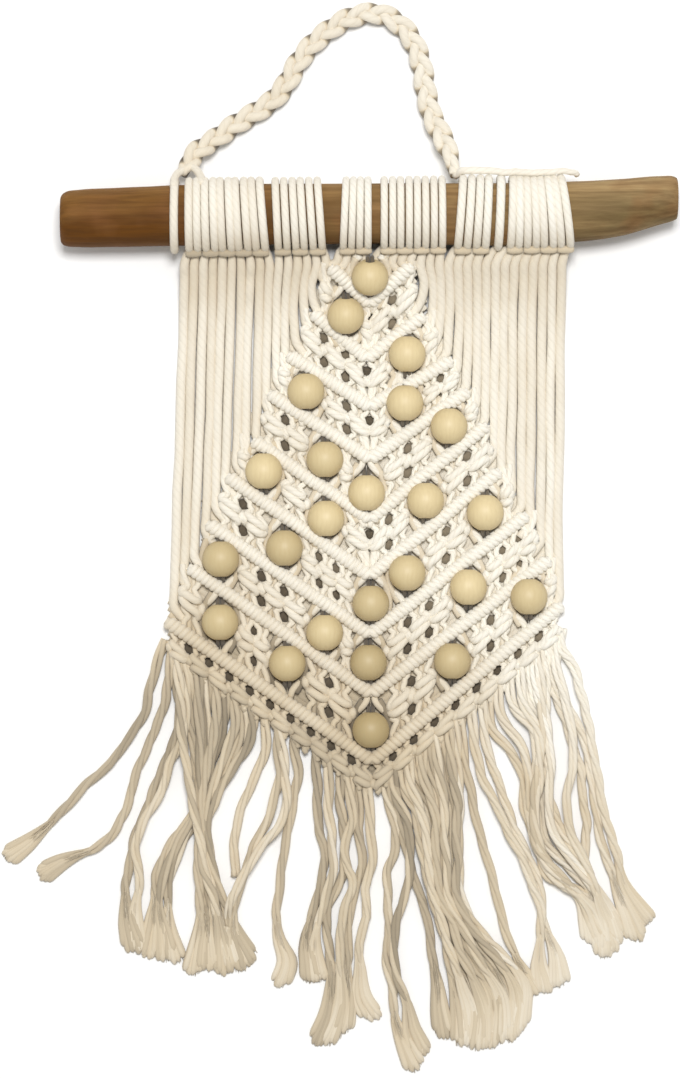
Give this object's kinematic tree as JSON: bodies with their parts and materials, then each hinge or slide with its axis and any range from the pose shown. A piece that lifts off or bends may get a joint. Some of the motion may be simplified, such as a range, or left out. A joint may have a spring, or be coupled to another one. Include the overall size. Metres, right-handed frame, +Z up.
{
  "type": "macrame wall ornament on a wooden rod",
  "caption": "knotted cotton wall ornament shaped like a tree, with wooden beads and a loose fringe, hung from a wooden rod by a plaited loop",
  "frame": {"origin": "on the surface the ornament lies on, under the middle of its box without the loose hanger", "axes": "+X along the rod, +Y from the fringe towards the hanging loop, +Z up out of the face"},
  "size_m": [0.2206, 0.3487, 0.0238],
  "materials": {
    "cotton": "undyed twisted cotton cord, matt, frayed at its ends",
    "rod_wood": "plain brown wood with a fine lengthwise grain, unvarnished",
    "bead_wood": "pale turned wood, sanded smooth"
  },
  "bodies": {
    "root": {"rod": "rod_wood", "wraps_1": "cotton", "wraps_2": "cotton", "wraps_3": "cotton", "wraps_4": "cotton", "wraps_5": "cotton", "wraps_6": "cotton", "wraps_7": "cotton", "wraps_8": "cotton", "panel": "cotton", "bead_01": "bead_wood", "bead_02": "bead_wood", "bead_03": "bead_wood", "bead_04": "bead_wood", "bead_05": "bead_wood", "bead_06": "bead_wood", "bead_07": "bead_wood", "bead_08": "bead_wood", "bead_09": "bead_wood", "bead_10": "bead_wood", "bead_11": "bead_wood", "bead_12": "bead_wood", "bead_13": "bead_wood", "bead_14": "bead_wood", "bead_15": "bead_wood", "bead_16": "bead_wood", "bead_17": "bead_wood", "bead_18": "bead_wood", "bead_19": "bead_wood", "bead_20": "bead_wood", "bead_21": "bead_wood", "bead_22": "bead_wood", "bead_23": "bead_wood", "bead_24": "bead_wood", "fringe_left": "cotton", "fringe_right": "cotton", "hanger_tail": "cotton", "hanger": "cotton"}
  },
  "joints": []
}
